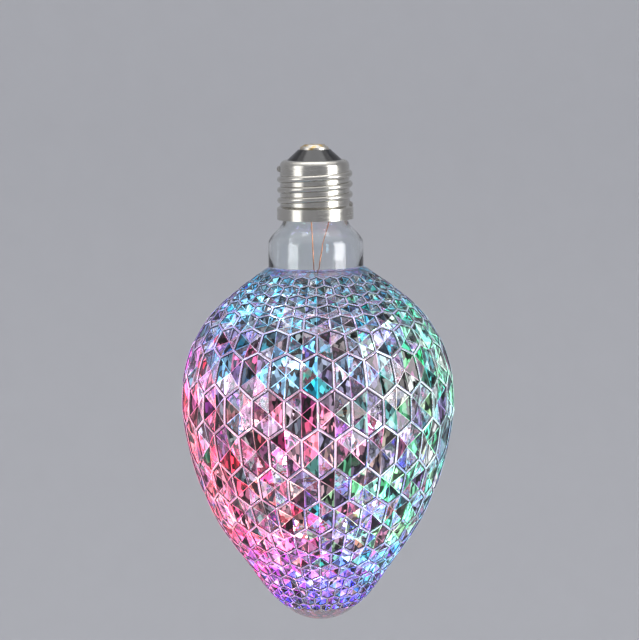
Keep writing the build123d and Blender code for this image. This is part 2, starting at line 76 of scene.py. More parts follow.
def dress(node, material):
    """Puts one material on a carried-over piece."""
    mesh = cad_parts[node].data
    mesh.materials.clear()
    mesh.materials.append(material)


plated, shader = new_material("nickel_plated_rolled_steel", Metallic=1.0, Base_Color=linear("#C8C5BD"))
place = add_node(plated, "ShaderNodeTexCoord")
LINE_WIDTH = 0.25 * MM
LINE_NOISE = 60.0
rings = add_node(plated, "ShaderNodeMapping", Scale=(1, 1, 1 / LINE_WIDTH / LINE_NOISE),
                 links={"Vector": place.outputs["Object"]})
lines = add_node(plated, "ShaderNodeTexNoise", Scale=LINE_NOISE, Detail=3.0,
                 links={"Vector": rings.outputs["Vector"]})
haze = add_node(plated, "ShaderNodeTexNoise", Scale=1 / (5 * MM), Detail=4.0,
                links={"Vector": place.outputs["Object"]})
mix = add_node(plated, "ShaderNodeMath", {"operation": "MULTIPLY"},
               {0: lines.outputs["Fac"], 1: haze.outputs["Fac"]})
dull = add_node(plated, "ShaderNodeMapRange", From_Min=0.1, From_Max=0.5, To_Min=0.16, To_Max=0.34,
                links={"Value": mix.outputs["Value"]})
bump = add_node(plated, "ShaderNodeBump", Strength=0.12, Distance=0.05 * MM,
                links={"Height": lines.outputs["Fac"]})
plated.node_tree.links.new(dull.outputs["Result"], shader.inputs["Roughness"])
plated.node_tree.links.new(bump.outputs["Normal"], shader.inputs["Normal"])
dress("screw_shell", plated)

# Cap insulator: black glass moulded hot in the shell's top, so it has a soft gloss
# with the slight ripple of glass that set against a tool.
black_glass, shader = new_material("black_moulded_cap_glass", Base_Color=linear("#121214"), IOR=1.52)
place = add_node(black_glass, "ShaderNodeTexCoord")
ripple = add_node(black_glass, "ShaderNodeTexNoise", Scale=1 / (3 * MM), Detail=2.0,
                  links={"Vector": place.outputs["Object"]})
gloss = add_node(black_glass, "ShaderNodeMapRange", To_Min=0.08, To_Max=0.26,
                 links={"Value": ripple.outputs["Fac"]})
bump = add_node(black_glass, "ShaderNodeBump", Strength=0.2, Distance=0.1 * MM,
                links={"Height": ripple.outputs["Fac"]})
black_glass.node_tree.links.new(gloss.outputs["Result"], shader.inputs["Roughness"])
black_glass.node_tree.links.new(bump.outputs["Normal"], shader.inputs["Normal"])
dress("cap_insulator", black_glass)

# Centre contact: a pressed brass rivet, tinned by dipping, so the tin lies in soft pools
# over the warmer brass.
tinned, shader = new_material("tinned_pressed_brass", Metallic=1.0)
place = add_node(tinned, "ShaderNodeTexCoord")
pools = add_node(tinned, "ShaderNodeTexNoise", Scale=1 / (2.5 * MM), Detail=3.0,
                 links={"Vector": place.outputs["Object"]})
tint = add_node(tinned, "ShaderNodeValToRGB", links={"Fac": pools.outputs["Fac"]})
tint.color_ramp.elements[0].position = 0.42
tint.color_ramp.elements[0].color = linear("#D8B878")
tint.color_ramp.elements[1].position = 0.58
tint.color_ramp.elements[1].color = linear("#CFCCC4")
satin = add_node(tinned, "ShaderNodeMapRange", To_Min=0.2, To_Max=0.42,
                 links={"Value": pools.outputs["Fac"]})
tinned.node_tree.links.new(tint.outputs["Color"], shader.inputs["Base Color"])
tinned.node_tree.links.new(satin.outputs["Result"], shader.inputs["Roughness"])
dress("centre_contact", tinned)

# Basing cement: a ring of filled resin between collar and shell, baked hard in place. It is
# dull and grainy, with its grains drawn coarser than real.
GRIT = 0.3 * MM
cement, shader = new_material("baked_basing_cement", Roughness=0.9)
place = add_node(cement, "ShaderNodeTexCoord")
grain = add_node(cement, "ShaderNodeTexNoise", Scale=1 / GRIT, Detail=4.0,
                 links={"Vector": place.outputs["Object"]})
tint = add_node(cement, "ShaderNodeValToRGB", links={"Fac": grain.outputs["Fac"]})
tint.color_ramp.elements[0].color = linear("#B5A88F")
tint.color_ramp.elements[1].color = linear("#DDD3BE")
bump = add_node(cement, "ShaderNodeBump", Strength=0.5, Distance=GRIT,
                links={"Height": grain.outputs["Fac"]})
cement.node_tree.links.new(tint.outputs["Color"], shader.inputs["Base Color"])
cement.node_tree.links.new(bump.outputs["Normal"], shader.inputs["Normal"])
dress("basing_cement", cement)

# Board holder: a white cup moulded in polyester, pushed into the collar's mouth.
# Its skin is satin, with a faint spark-eroded grain that is drawn coarser than real.
polyester, shader = new_material("white_moulded_polyester", IOR=1.55)
place = add_node(polyester, "ShaderNodeTexCoord")
grain = add_node(polyester, "ShaderNodeTexNoise", Scale=1 / (0.4 * MM), Detail=3.0,
                 links={"Vector": place.outputs["Object"]})
tint = add_node(polyester, "ShaderNodeValToRGB", links={"Fac": grain.outputs["Fac"]})
tint.color_ramp.elements[0].color = linear("#E2E0D8")
tint.color_ramp.elements[1].color = linear("#EFEEE9")
satin = add_node(polyester, "ShaderNodeMapRange", To_Min=0.38, To_Max=0.55,
                 links={"Value": grain.outputs["Fac"]})
polyester.node_tree.links.new(tint.outputs["Color"], shader.inputs["Base Color"])
polyester.node_tree.links.new(satin.outputs["Result"], shader.inputs["Roughness"])
dress("board_holder", polyester)

# Driver board: glass cloth laminate under green lacquer. The cloth's weave shows through
# as a fine check, about half a millimetre a thread.
WEAVE = 0.5 * MM
laminate, shader = new_material("green_lacquered_laminate", IOR=1.55)
place = add_node(laminate, "ShaderNodeTexCoord")
turned = add_node(laminate, "ShaderNodeMapping", Rotation=(math.pi / 2, 0, 0),
                  links={"Vector": place.outputs["Object"]})
weave = add_node(laminate, "ShaderNodeTexBrick", Scale=1 / WEAVE, Color1=linear("#1F6B3A"),
                 Color2=linear("#257A45"), Mortar=linear("#195A30"), Mortar_Size=0.06,
                 Brick_Width=1.0, Row_Height=1.0, links={"Vector": turned.outputs["Vector"]})
haze = add_node(laminate, "ShaderNodeTexNoise", Scale=1 / (2 * MM),
                links={"Vector": place.outputs["Object"]})
gloss = add_node(laminate, "ShaderNodeMapRange", To_Min=0.2, To_Max=0.4,
                 links={"Value": haze.outputs["Fac"]})
laminate.node_tree.links.new(weave.outputs["Color"], shader.inputs["Base Color"])
laminate.node_tree.links.new(gloss.outputs["Result"], shader.inputs["Roughness"])
dress("driver_board", laminate)


# Parts on the board: moulded epoxy blocks, a sleeved can, a lacquered resistor with its
# colour bands, and small chip resistors. Each is dull or glossy as its coating is.
def speckled(name, dark, painted_line_highlight, grain_size, smooth, rough):
    """Dielectric whose colour runs from dark to pale, and its roughness from smooth to
    rough, with a noise of the given grain size."""
    material, shader = new_material(name)
    place = add_node(material, "ShaderNodeTexCoord")
    grain = add_node(material, "ShaderNodeTexNoise", Scale=1 / grain_size, Detail=3.0,
                     links={"Vector": place.outputs["Object"]})
    tint = add_node(material, "ShaderNodeValToRGB", links={"Fac": grain.outputs["Fac"]})
    tint.color_ramp.elements[0].color = linear(dark)
    tint.color_ramp.elements[1].color = linear(painted_line_highlight)
    dull = add_node(material, "ShaderNodeMapRange", To_Min=smooth, To_Max=rough,
                    links={"Value": grain.outputs["Fac"]})
    material.node_tree.links.new(tint.outputs["Color"], shader.inputs["Base Color"])
    material.node_tree.links.new(dull.outputs["Result"], shader.inputs["Roughness"])
    return material


epoxy = speckled("black_moulded_epoxy", "#141416", "#222225", 0.2 * MM, 0.45, 0.65)
dress("driver_chip", epoxy)
dress("rectifier", epoxy)
dress("smoothing_capacitor", speckled("dark_shrunk_sleeve", "#101521", "#1B2233", 1.5 * MM, 0.2, 0.35))
dress("chip_resistors", speckled("black_fired_glaze", "#0E0E10", "#1C1C20", 0.3 * MM, 0.25, 0.4))

BAND_PITCH = 1.0 * MM
lacquer, shader = new_material("banded_resistor_lacquer", Roughness=0.3, IOR=1.5)
place = add_node(lacquer, "ShaderNodeTexCoord")
split = add_node(lacquer, "ShaderNodeSeparateXYZ", links={"Vector": place.outputs["Object"]})
along = add_node(lacquer, "ShaderNodeMath", {"operation": "PINGPONG"}, {0: split.outputs["X"]})
along.inputs[1].default_value = BAND_PITCH
bands = add_node(lacquer, "ShaderNodeMapRange", From_Max=BAND_PITCH, links={"Value": along.outputs["Value"]})
tint = add_node(lacquer, "ShaderNodeValToRGB", {}, {"Fac": bands.outputs["Result"]})
tint.color_ramp.interpolation = "CONSTANT"
tint.color_ramp.elements[0].color = linear("#5F88A8")
tint.color_ramp.elements[1].position = 0.7
tint.color_ramp.elements[1].color = linear("#5A3520")
lacquer.node_tree.links.new(tint.outputs["Color"], shader.inputs["Base Color"])
dress("fuse_resistor", lacquer)

# Solder joints and the two sleeved leads: bright tin that froze with a slight grain, and
# soft extruded sleeves in red and black.
tin, shader = new_material("frozen_bright_solder", Metallic=1.0, Base_Color=linear("#C4C5C6"))
place = add_node(tin, "ShaderNodeTexCoord")
grain = add_node(tin, "ShaderNodeTexNoise", Scale=1 / (0.3 * MM), Detail=2.0,
                 links={"Vector": place.outputs["Object"]})
satin = add_node(tin, "ShaderNodeMapRange", To_Min=0.18, To_Max=0.4,
                 links={"Value": grain.outputs["Fac"]})
tin.node_tree.links.new(satin.outputs["Result"], shader.inputs["Roughness"])
dress("solder_joints", tin)
dress("live_lead", speckled("red_extruded_sleeve", "#8E1010", "#B01818", 0.8 * MM, 0.35, 0.5))
dress("neutral_lead", speckled("black_extruded_sleeve", "#0F0F10", "#1B1B1D", 0.8 * MM, 0.35, 0.5))

# String wires: two fine copper wires in clear enamel, looped by hand inside the body.
# The enamel deepens the copper's colour a little unevenly.
copper, shader = new_material("enamelled_drawn_copper", Metallic=1.0, Coat_Weight=0.6, Coat_Roughness=0.08)
place = add_node(copper, "ShaderNodeTexCoord")
shade = add_node(copper, "ShaderNodeTexNoise", Scale=1 / (4 * MM), Detail=2.0,
                 links={"Vector": place.outputs["Object"]})
tint = add_node(copper, "ShaderNodeValToRGB", links={"Fac": shade.outputs["Fac"]})
tint.color_ramp.elements[0].color = linear("#B8754E")
tint.color_ramp.elements[1].color = linear("#E0A37C")
satin = add_node(copper, "ShaderNodeMapRange", To_Min=0.18, To_Max=0.32,
                 links={"Value": shade.outputs["Fac"]})
copper.node_tree.links.new(tint.outputs["Color"], shader.inputs["Base Color"])
copper.node_tree.links.new(satin.outputs["Result"], shader.inputs["Roughness"])
dress("string_wire_a", copper)
dress("string_wire_b", copper)

# Lights on the string: a chip on both wires, under a drop of resin that set round and
# smooth. The drop is drawn opaque and glows in the chip's colour, so it hides its chip.
DROP_SIZE = np.array([3.2, 2.4, 2.0]) * MM
CHIP_SIZE = np.array([0.9, 0.55, 0.55]) * MM
DROP_SQUARENESS = 0.75
CHIP_SQUARENESS = 0.3
RESIN_GLOW = 9.0
CHIP_GLOW = 40.0
LIGHT_HEXES = {"red": "#FF0C14", "pink": "#FF2A86", "green": "#00E888",
               "teal": "#00C4EC", "blue": "#1A26FF", "violet": "#7A26FF"}
LIGHT_POWERS = {"red": 4.6, "pink": 1.8, "green": 2.1, "teal": 3.0, "blue": 3.8, "violet": 2.2}


def grid_faces(rows, columns, first=0):
    """Quads of a grid whose columns close into a ring, as (rows - 1) * columns faces."""
    row = np.arange(rows - 1)[:, None] * columns
    column = np.arange(columns)[None, :]
    beside = (column + 1) % columns
    quads = np.stack([row + column, row + columns + column, row + columns + beside, row + beside], -1)
    return quads.reshape(-1, 4) + first


def rounded_block(size, squareness, rows=12, columns=20):
    """Closed surface of a rounded block: x = a * c(u) * c(v), y = b * c(u) * s(v) and
    z = h * s(u), where c and s are cosine and sine raised to the squareness."""
    def power(value):
        return np.sign(value) * np.abs(value) ** squareness
    u = np.linspace(math.pi / 2, -math.pi / 2, rows + 2)[1:-1, None]
    v = np.linspace(0, 2 * math.pi, columns, endpoint=False)[None, :]
    ring = np.stack([power(np.cos(u)) * power(np.cos(v)), power(np.cos(u)) * power(np.sin(v)),
                     power(np.sin(u)) * np.ones_like(v)], -1).reshape(-1, 3)
    points = np.vstack([ring, [[0, 0, 1]], [[0, 0, -1]]]) * size / 2
    column = np.arange(columns)
    beside = (column + 1) % columns
    last = (rows - 1) * columns
    top = np.stack([np.full(columns, rows * columns), column, beside], -1)
    bottom = np.stack([last + column, np.full(columns, rows * columns + 1), last + beside], -1)
    return points, grid_faces(rows, columns), np.vstack([top, bottom])


def make_mesh(name, points, quads, triangles):
    """Mesh object, smooth shaded, from arrays of points, quads and triangles."""
    mesh = bpy.data.meshes.new(name)
    mesh.from_pydata(points.tolist(), [], quads.tolist() + triangles.tolist())
    mesh.update()
    mesh.polygons.foreach_set("use_smooth", np.ones(len(mesh.polygons), bool))
    piece = bpy.data.objects.new(name, mesh)
    bpy.context.scene.collection.objects.link(piece)
    return piece


def mesh_points(node):
    """All vertices of a carried-over piece, as an array."""
    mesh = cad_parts[node].data
    points = np.empty(len(mesh.vertices) * 3)
    mesh.vertices.foreach_get("co", points)
    return points.reshape(-1, 3)


def glowing_resin(colour):
    """Resin lit by the chip inside it: its glow runs from the chip's colour towards white."""
    material, shader = new_material(f"clear_cast_resin_{colour}", IOR=1.5, Roughness=0.05,
                                    Base_Color=linear(LIGHT_HEXES[colour]), Emission_Strength=RESIN_GLOW)
    place = add_node(material, "ShaderNodeTexCoord")
    swirl = add_node(material, "ShaderNodeTexNoise", Scale=1 / (1.2 * MM),
                     links={"Vector": place.outputs["Object"]})
    tint = add_node(material, "ShaderNodeValToRGB", links={"Fac": swirl.outputs["Fac"]})
    tint.color_ramp.elements[0].color = linear(LIGHT_HEXES[colour])
    tint.color_ramp.elements[1].position = 1.0
    tint.color_ramp.elements[1].color = linear("#FFFFFF")
    material.node_tree.links.new(tint.outputs["Color"], shader.inputs["Emission Color"])
    return material


def lit_chip(colour):
    """Lit chip: its crystal glows a little unevenly, and far brighter than the resin."""
    material, shader = new_material(f"diced_led_crystal_{colour}", Roughness=0.6, Emission_Strength=CHIP_GLOW)
    place = add_node(material, "ShaderNodeTexCoord")
    grain = add_node(material, "ShaderNodeTexNoise", Scale=1 / (0.2 * MM),
                     links={"Vector": place.outputs["Object"]})
    tint = add_node(material, "ShaderNodeValToRGB", links={"Fac": grain.outputs["Fac"]})
    tint.color_ramp.elements[0].color = linear(LIGHT_HEXES[colour])
    tint.color_ramp.elements[1].color = linear("#FFFFFF")
    material.node_tree.links.new(tint.outputs["Color"], shader.inputs["Emission Color"])
    return material


resins = {colour: glowing_resin(colour) for colour in LIGHT_HEXES}
chips = {colour: lit_chip(colour) for colour in LIGHT_HEXES}
lights = sorted(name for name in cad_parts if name.startswith("led_"))
light_places = []
light_colours = []
for name in lights:
    colour = name.split("_")[1]
    corners = mesh_points(name)
    middle = (corners.min(0) + corners.max(0)) / 2
    axes = np.linalg.svd(corners - corners.mean(0), full_matrices=False)[2]
    axes[2] = np.cross(axes[0], axes[1])
    drop, quads, tips = rounded_block(DROP_SIZE, DROP_SQUARENESS)
    chip, chip_quads, chip_tips = rounded_block(CHIP_SIZE, CHIP_SQUARENESS)
    points = np.vstack([drop, chip]) @ axes + middle
    piece = make_mesh(f"{name}_drop", points, np.vstack([quads, chip_quads + len(drop)]),
                      np.vstack([tips, chip_tips + len(drop)]))
    piece.data.materials.append(resins[colour])
    piece.data.materials.append(chips[colour])
    # Faces lie in the order drop's quads, chip's quads, drop's tips, chip's tips.
    inner = np.zeros(len(piece.data.polygons), np.int32)
    inner[len(quads):len(quads) + len(chip_quads)] = 1
    inner[len(quads) + len(chip_quads) + len(tips):] = 1
    piece.data.polygons.foreach_set("material_index", inner)
    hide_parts(name)
    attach(piece, "root")
    light_places.append(middle)
    light_colours.append(np.array(linear(LIGHT_HEXES[colour])[:3]) * LIGHT_POWERS[colour])
light_places = np.array(light_places)
light_colours = np.array(light_colours)

# Envelope: one clear glass wall, blown into a cut mould. Rounded ridges stand between sunk
# six-sided cells, and each cell's six facets meet at its centre. The neck and dome are plain.
CELLS_ROUND = 26
HALF_CELL = math.pi / CELLS_ROUND
SIDE_STEPS = 4
COLUMNS = 2 * CELLS_ROUND * SIDE_STEPS
ROW_HEIGHTS = np.array([4.6, 4.9, 4.9, 4.9, 6.7, 10.0, 13.7, 13.5, 14.7,
                        11.6, 11.2, 8.8, 7.4, 6.0, 5.3, 4.6, 4.2, 3.8])
TOP_MARGIN = 3.5
BOTTOM_MARGIN = 0.8
EDGE_SHARE = 0.70
RIDGE_WIDTHS = np.array([0.6, 1.5]) * MM
RIDGE_CROWNS = np.array([0.15, 0.45]) * MM
CELL_DEPTHS = np.array([0.5, 1.5]) * MM
FACET_DOME = 0.12 * MM
BODY_WALL = 0.9 * MM
NECK_WALL = 1.2 * MM
COLLAR_RADIUS = 11.2 * MM
COLLAR_HEIGHT = 6.0 * MM
NECK_RADIUS = 16.6 * MM
FLARE_LENGTH = 8.5 * MM
NECK_LENGTH = 8.5 * MM
FOOT_STEP = 0.8 * MM
BODY_RADIUS = 47.8 * MM
BODY_HEIGHT = 125.0 * MM
DOME_RADIUS = 12.6 * MM
DOME_HEIGHT = 5.1 * MM
BODY_OUTLINE = np.array([(0.056, 0.564), (0.132, 0.783), (0.224, 0.929), (0.389, 1.0),
                         (0.556, 0.921), (0.712, 0.754), (0.848, 0.511), (0.942, 0.318)])
RIM_BEVEL = np.array([0.3, 0.4]) * MM
FILLET_START = 1.0 * MM
FILLET_BEND = np.array([0.15, 0.3]) * MM
FILLET_END = np.array([0.3, 0.25]) * MM
MERGE_STEP = 0.001 * MM
JUNCTION_Z = -FLARE_LENGTH - NECK_LENGTH
TIP_Z = JUNCTION_Z - BODY_HEIGHT
PATTERN_WALL = BODY_WALL + CELL_DEPTHS[1]


def smooth_curve(knots, count=1500):
    """Cubic spline through the knots, by chord length, with no bend at its ends: the
    second derivatives M solve h0*M0 + 2*(h0 + h1)*M1 + h1*M2 = 6*(slope1 - slope0)."""
    chords = np.linalg.norm(np.diff(knots, axis=0), axis=1)
    marks = np.concatenate([[0], np.cumsum(chords)])
    slopes = np.diff(knots, axis=0) / chords[:, None]
    system = np.eye(len(knots))
    right = np.zeros_like(knots)
    inner = np.arange(1, len(knots) - 1)
    system[inner, inner - 1] = chords[:-1]
    system[inner, inner] = 2 * (chords[:-1] + chords[1:])
    system[inner, inner + 1] = chords[1:]
    right[inner] = 6 * np.diff(slopes, axis=0)
    bends = np.linalg.solve(system, right)
    t = np.linspace(0, marks[-1], count)
    span = np.clip(np.searchsorted(marks, t) - 1, 0, len(chords) - 1)
    h, after, before = chords[span, None], (marks[span + 1] - t)[:, None], (t - marks[span])[:, None]
    return ((bends[span] * after ** 3 + bends[span + 1] * before ** 3) / (6 * h)
            + (knots[span] / h - bends[span] * h / 6) * after
            + (knots[span + 1] / h - bends[span + 1] * h / 6) * before)


body_curve = smooth_curve(np.vstack([
    [(NECK_RADIUS + FOOT_STEP, JUNCTION_Z)],
    np.stack([BODY_OUTLINE[:, 1] * BODY_RADIUS, JUNCTION_Z - BODY_OUTLINE[:, 0] * BODY_HEIGHT], -1),
    [(DOME_RADIUS, TIP_Z + DOME_HEIGHT)]]))
curve_steps = np.linalg.norm(np.diff(body_curve, axis=0), axis=1)
curve_marks = np.concatenate([[0], np.cumsum(curve_steps)])
curve_length = curve_marks[-1]
curve_tangents = np.gradient(body_curve, axis=0)
curve_tangents /= np.linalg.norm(curve_tangents, axis=1)[:, None]


def on_curve(distance, depth=0.0):
    """Radius and height at a distance along the body's curve, set in across it by depth."""
    radius = np.interp(distance, curve_marks, body_curve[:, 0])
    height = np.interp(distance, curve_marks, body_curve[:, 1])
    along_r = np.interp(distance, curve_marks, curve_tangents[:, 0])
    along_z = np.interp(distance, curve_marks, curve_tangents[:, 1])
    return radius + along_z * depth, height - along_r * depth


def tapered(sizes, distance):
    """Size that grows with the body's radius r: s0 + (s1 - s0) * r / belly radius."""
    return sizes[0] + (sizes[1] - sizes[0]) * on_curve(distance)[0] / BODY_RADIUS


def spun(radius, height, turn):
    """Points (r * sin, -r * cos, z) of radii and heights at angles from the front."""
    radius, height, turn = np.broadcast_arrays(radius, height, turn)
    return np.stack([radius * np.sin(turn), -radius * np.cos(turn), height], -1)


row_scale = (curve_length / MM - BOTTOM_MARGIN) / (TOP_MARGIN + ROW_HEIGHTS.sum()) * MM
row_starts = row_scale * (TOP_MARGIN + np.concatenate([[0], np.cumsum(ROW_HEIGHTS)[:-1]]))
row_feet = row_starts + row_scale * ROW_HEIGHTS
row_ends = row_starts + EDGE_SHARE * row_scale * ROW_HEIGHTS
row_peaks = np.concatenate([[row_starts[0] - (1 - EDGE_SHARE) * row_scale * ROW_HEIGHTS[0]], row_ends[:-1]])


def six_corners(peak, upper, lower, foot, upper_turn, lower_turn):
    """(rows, 6, 2) corners of each row's cell as (distance, turn), clockwise from its peak."""
    none = np.zeros_like(peak)
    return np.stack([np.stack([peak, none], -1), np.stack([upper, upper_turn], -1),
                     np.stack([lower, lower_turn], -1), np.stack([foot, none], -1),
                     np.stack([lower, -lower_turn], -1), np.stack([upper, -upper_turn], -1)], 1)


def along_sides(corners):
    """Points evenly along the six sides: (1 - w) * corner + w * next corner."""
    share = np.arange(SIDE_STEPS) / SIDE_STEPS
    following = np.roll(corners, -1, axis=1)
    points = corners[:, :, None] * (1 - share[:, None]) + following[:, :, None] * share[:, None]
    return points.reshape(len(corners), 6 * SIDE_STEPS, 2)


half_turns = np.full(len(ROW_HEIGHTS), HALF_CELL)
slope_above = np.arctan2(row_starts - row_peaks, on_curve(row_starts)[0] * HALF_CELL)
slope_below = np.arctan2(row_feet - row_ends, on_curve(row_ends)[0] * HALF_CELL)
row_middles = (row_starts + row_ends) / 2
row_half = tapered(RIDGE_WIDTHS, row_middles) / 2
upper_inset = row_starts + row_half * (1 / np.cos(slope_above) - np.tan(slope_above))
lower_inset = row_ends - row_half * (1 / np.cos(slope_below) - np.tan(slope_below))
border = along_sides(six_corners(row_peaks, row_starts, row_ends, row_feet, half_turns, half_turns))
rim = along_sides(six_corners(
    row_peaks + row_half / np.cos(slope_above), upper_inset, lower_inset,
    row_feet - row_half / np.cos(slope_below),
    HALF_CELL - row_half / on_curve(upper_inset)[0], HALF_CELL - row_half / on_curve(lower_inset)[0]))
centre = np.stack([row_middles, np.zeros_like(row_starts)], -1)[:, None]
row_crown = tapered(RIDGE_CROWNS, row_middles)[:, None]
row_depth = tapered(CELL_DEPTHS, row_middles)[:, None]
RIDGE_SHARES = (0, 0.5, 0.75, 1)
FACET_SHARES = (1 / 3, 2 / 3)
side_share = np.tile(np.arange(SIDE_STEPS) / SIDE_STEPS, 6)
layers = [border + (rim - border) * share for share in RIDGE_SHARES]
depths = [np.full(6 * SIDE_STEPS, share ** 2) * row_crown for share in RIDGE_SHARES]
# Each facet swells a little between its seams. 27 brings the product's largest value to 1.
for share in FACET_SHARES:
    layers.append(rim + (centre - rim) * share)
    swell = 27 * share * (1 - share) ** 2 * side_share * (1 - side_share)
    depths.append(row_crown + (row_depth - row_crown) * share - FACET_DOME * swell)
layers.append(centre)
depths.append(row_depth)
flat_cells = np.concatenate(layers, 1)
cell_depths = np.concatenate(depths, 1)
row_number = np.arange(len(ROW_HEIGHTS))[:, None, None]
column_number = np.arange(CELLS_ROUND)[None, :, None]
turns = (2 * column_number + row_number % 2) * HALF_CELL + flat_cells[:, None, :, 1]
wall_r, wall_z = on_curve(flat_cells[:, None, :, 0], cell_depths[:, None])
cells = spun(wall_r, wall_z, turns)
cell_size = cells.shape[2]
ring_size = 6 * SIDE_STEPS
ring_count = len(RIDGE_SHARES) + len(FACET_SHARES)
cell_quads = grid_faces(ring_count, ring_size)
inner_ring = (ring_count - 1) * ring_size + np.arange(ring_size)
inner_next = (ring_count - 1) * ring_size + (np.arange(ring_size) + 1) % ring_size
cell_fan = np.stack([inner_ring, np.full(ring_size, cell_size - 1), inner_next], -1)
first_points = (np.arange(len(ROW_HEIGHTS) * CELLS_ROUND) * cell_size)[:, None, None]
cell_points = cells.reshape(-1, 3)
cell_quads = (cell_quads[None] + first_points).reshape(-1, 4)
cell_fans = (cell_fan[None] + first_points).reshape(-1, 3)

# The plain parts are turned: one grid runs from the inside of the dome up the inner wall,
# over the collar's rim and down to the first row's zigzag, and one closes the dome.
TURN = np.arange(COLUMNS) * HALF_CELL / SIDE_STEPS
zigzag = np.abs((np.arange(COLUMNS) / SIDE_STEPS + 1) % 2 - 1)
DOME_ROWS = 9
INNER_ROWS = 44
FLARE_ROWS = 10


def bowl(rim_radius, rim_z, tip_z, rows):
    """Round bowl from its rim to its tip: z = tip + R - sqrt(R^2 - r^2), as (rows, 2)."""
    height = rim_z - tip_z
    sphere = (rim_radius ** 2 + height ** 2) / (2 * height)
    radius = rim_radius * np.linspace(1, 0, rows + 1)[:-1]
    return np.stack([radius, tip_z + sphere - np.sqrt(sphere ** 2 - radius ** 2)], -1)


def flare(collar, neck):
    """S-shaped flare from collar to neck: r moves by 3u^2 - 2u^3 as z falls by u."""
    u = np.linspace(0, 1, FLARE_ROWS)
    return np.stack([collar + (neck - collar) * (3 * u ** 2 - 2 * u ** 3), -FLARE_LENGTH * u], -1)


inner_neck = NECK_RADIUS - NECK_WALL
inner_collar = COLLAR_RADIUS - NECK_WALL
inner_body = np.stack(on_curve(np.linspace(0, curve_length, INNER_ROWS), PATTERN_WALL), -1)
below_neck = (inner_body[:, 0] > inner_neck + NECK_WALL) | (inner_body[:, 1] < TIP_Z / 2)
inner_body = inner_body[below_neck]
inner_bowl = bowl(inner_body[-1, 0], inner_body[-1, 1], TIP_Z + NECK_WALL, DOME_ROWS)
foot_r, foot_z = on_curve(row_peaks[0] - row_half[0])
outline = np.vstack([
    inner_bowl[1:][::-1], inner_body[::-1],
    [(inner_neck, JUNCTION_Z - PATTERN_WALL / 2)], flare(inner_collar, inner_neck)[::-1],
    [(inner_collar, COLLAR_HEIGHT - RIM_BEVEL[1]), (inner_collar + RIM_BEVEL[0], COLLAR_HEIGHT)],
    [(COLLAR_RADIUS - RIM_BEVEL[0], COLLAR_HEIGHT), (COLLAR_RADIUS, COLLAR_HEIGHT - RIM_BEVEL[1])],
    flare(COLLAR_RADIUS, NECK_RADIUS),
    [(NECK_RADIUS, JUNCTION_Z + FILLET_START),
     (NECK_RADIUS + FILLET_BEND[0], JUNCTION_Z + FILLET_BEND[1]),
     (foot_r - FILLET_END[0], foot_z + FILLET_END[1]), (foot_r, foot_z)]])
top_r, top_z = on_curve(row_peaks[0] + (row_starts[0] - row_peaks[0]) * zigzag)
upper_grid = np.concatenate([spun(outline[:, :1], outline[:, 1:], TURN), spun(top_r, top_z, TURN)[None]])
low_r, low_z = on_curve(row_feet[-1] + (row_ends[-1] - row_feet[-1]) * zigzag)
edge_r, edge_z = on_curve(row_feet[-1] + row_half[-1])
dome_outline = bowl(edge_r, edge_z, TIP_Z, DOME_ROWS)
lower_grid = np.concatenate([spun(low_r, low_z, TURN)[None],
                             spun(dome_outline[:, :1], dome_outline[:, 1:], TURN)])
upper_first = len(cell_points)
upper_count = upper_grid.shape[0] * COLUMNS
lower_first = upper_first + upper_count
lower_count = lower_grid.shape[0] * COLUMNS
inner_pole = lower_first + lower_count
column = np.arange(COLUMNS)
beside = (column + 1) % COLUMNS
last_ring = inner_pole - COLUMNS
plain_quads = np.vstack([grid_faces(len(upper_grid), COLUMNS, upper_first),
                         grid_faces(len(lower_grid), COLUMNS, lower_first)])
plain_fans = np.vstack([
    np.stack([np.full(COLUMNS, inner_pole), upper_first + column, upper_first + beside], -1),
    np.stack([last_ring + column, np.full(COLUMNS, inner_pole + 1), last_ring + beside], -1)])
points = np.vstack([cell_points, upper_grid.reshape(-1, 3), lower_grid.reshape(-1, 3),
                    [(0, 0, TIP_Z + NECK_WALL)], [(0, 0, TIP_Z)]])
keys = np.round(points / MERGE_STEP).astype(np.int64)
kept, merged = np.unique(keys, axis=0, return_index=True, return_inverse=True)[1:]
merged = merged.reshape(-1)
quads = merged[np.vstack([cell_quads, plain_quads])]
fans = merged[np.vstack([cell_fans, plain_fans])]
envelope = make_mesh("clear_envelope", points[kept], quads, fans)

# Facets are crisp where they meet, because the mould was cut with flat faces: the seams
# between them and the feet of the ridges are sharp edges.
ring_of = np.arange(cell_size) // ring_size
seam = (ring_of >= len(RIDGE_SHARES) - 1) & (np.arange(cell_size) % ring_size % SIDE_STEPS == 0)
foot = ring_of == len(RIDGE_SHARES) - 1


def over_wall(of_cell):
    """One yes or no for each point of the wall, from one cell's pattern, and no on plain parts."""
    plain = np.zeros(len(points) - len(cell_points), bool)
    return np.concatenate([np.tile(of_cell, len(cell_points) // cell_size), plain])[kept]


mesh = envelope.data
ends = np.empty(len(mesh.edges) * 2, np.int32)
mesh.edges.foreach_get("vertices", ends)
ends = ends.reshape(-1, 2)
sharp = over_wall(seam)[ends].all(1) | over_wall(foot)[ends].all(1)
mesh.attributes.new("sharp_edge", "BOOLEAN", "EDGE").data.foreach_set("value", sharp)
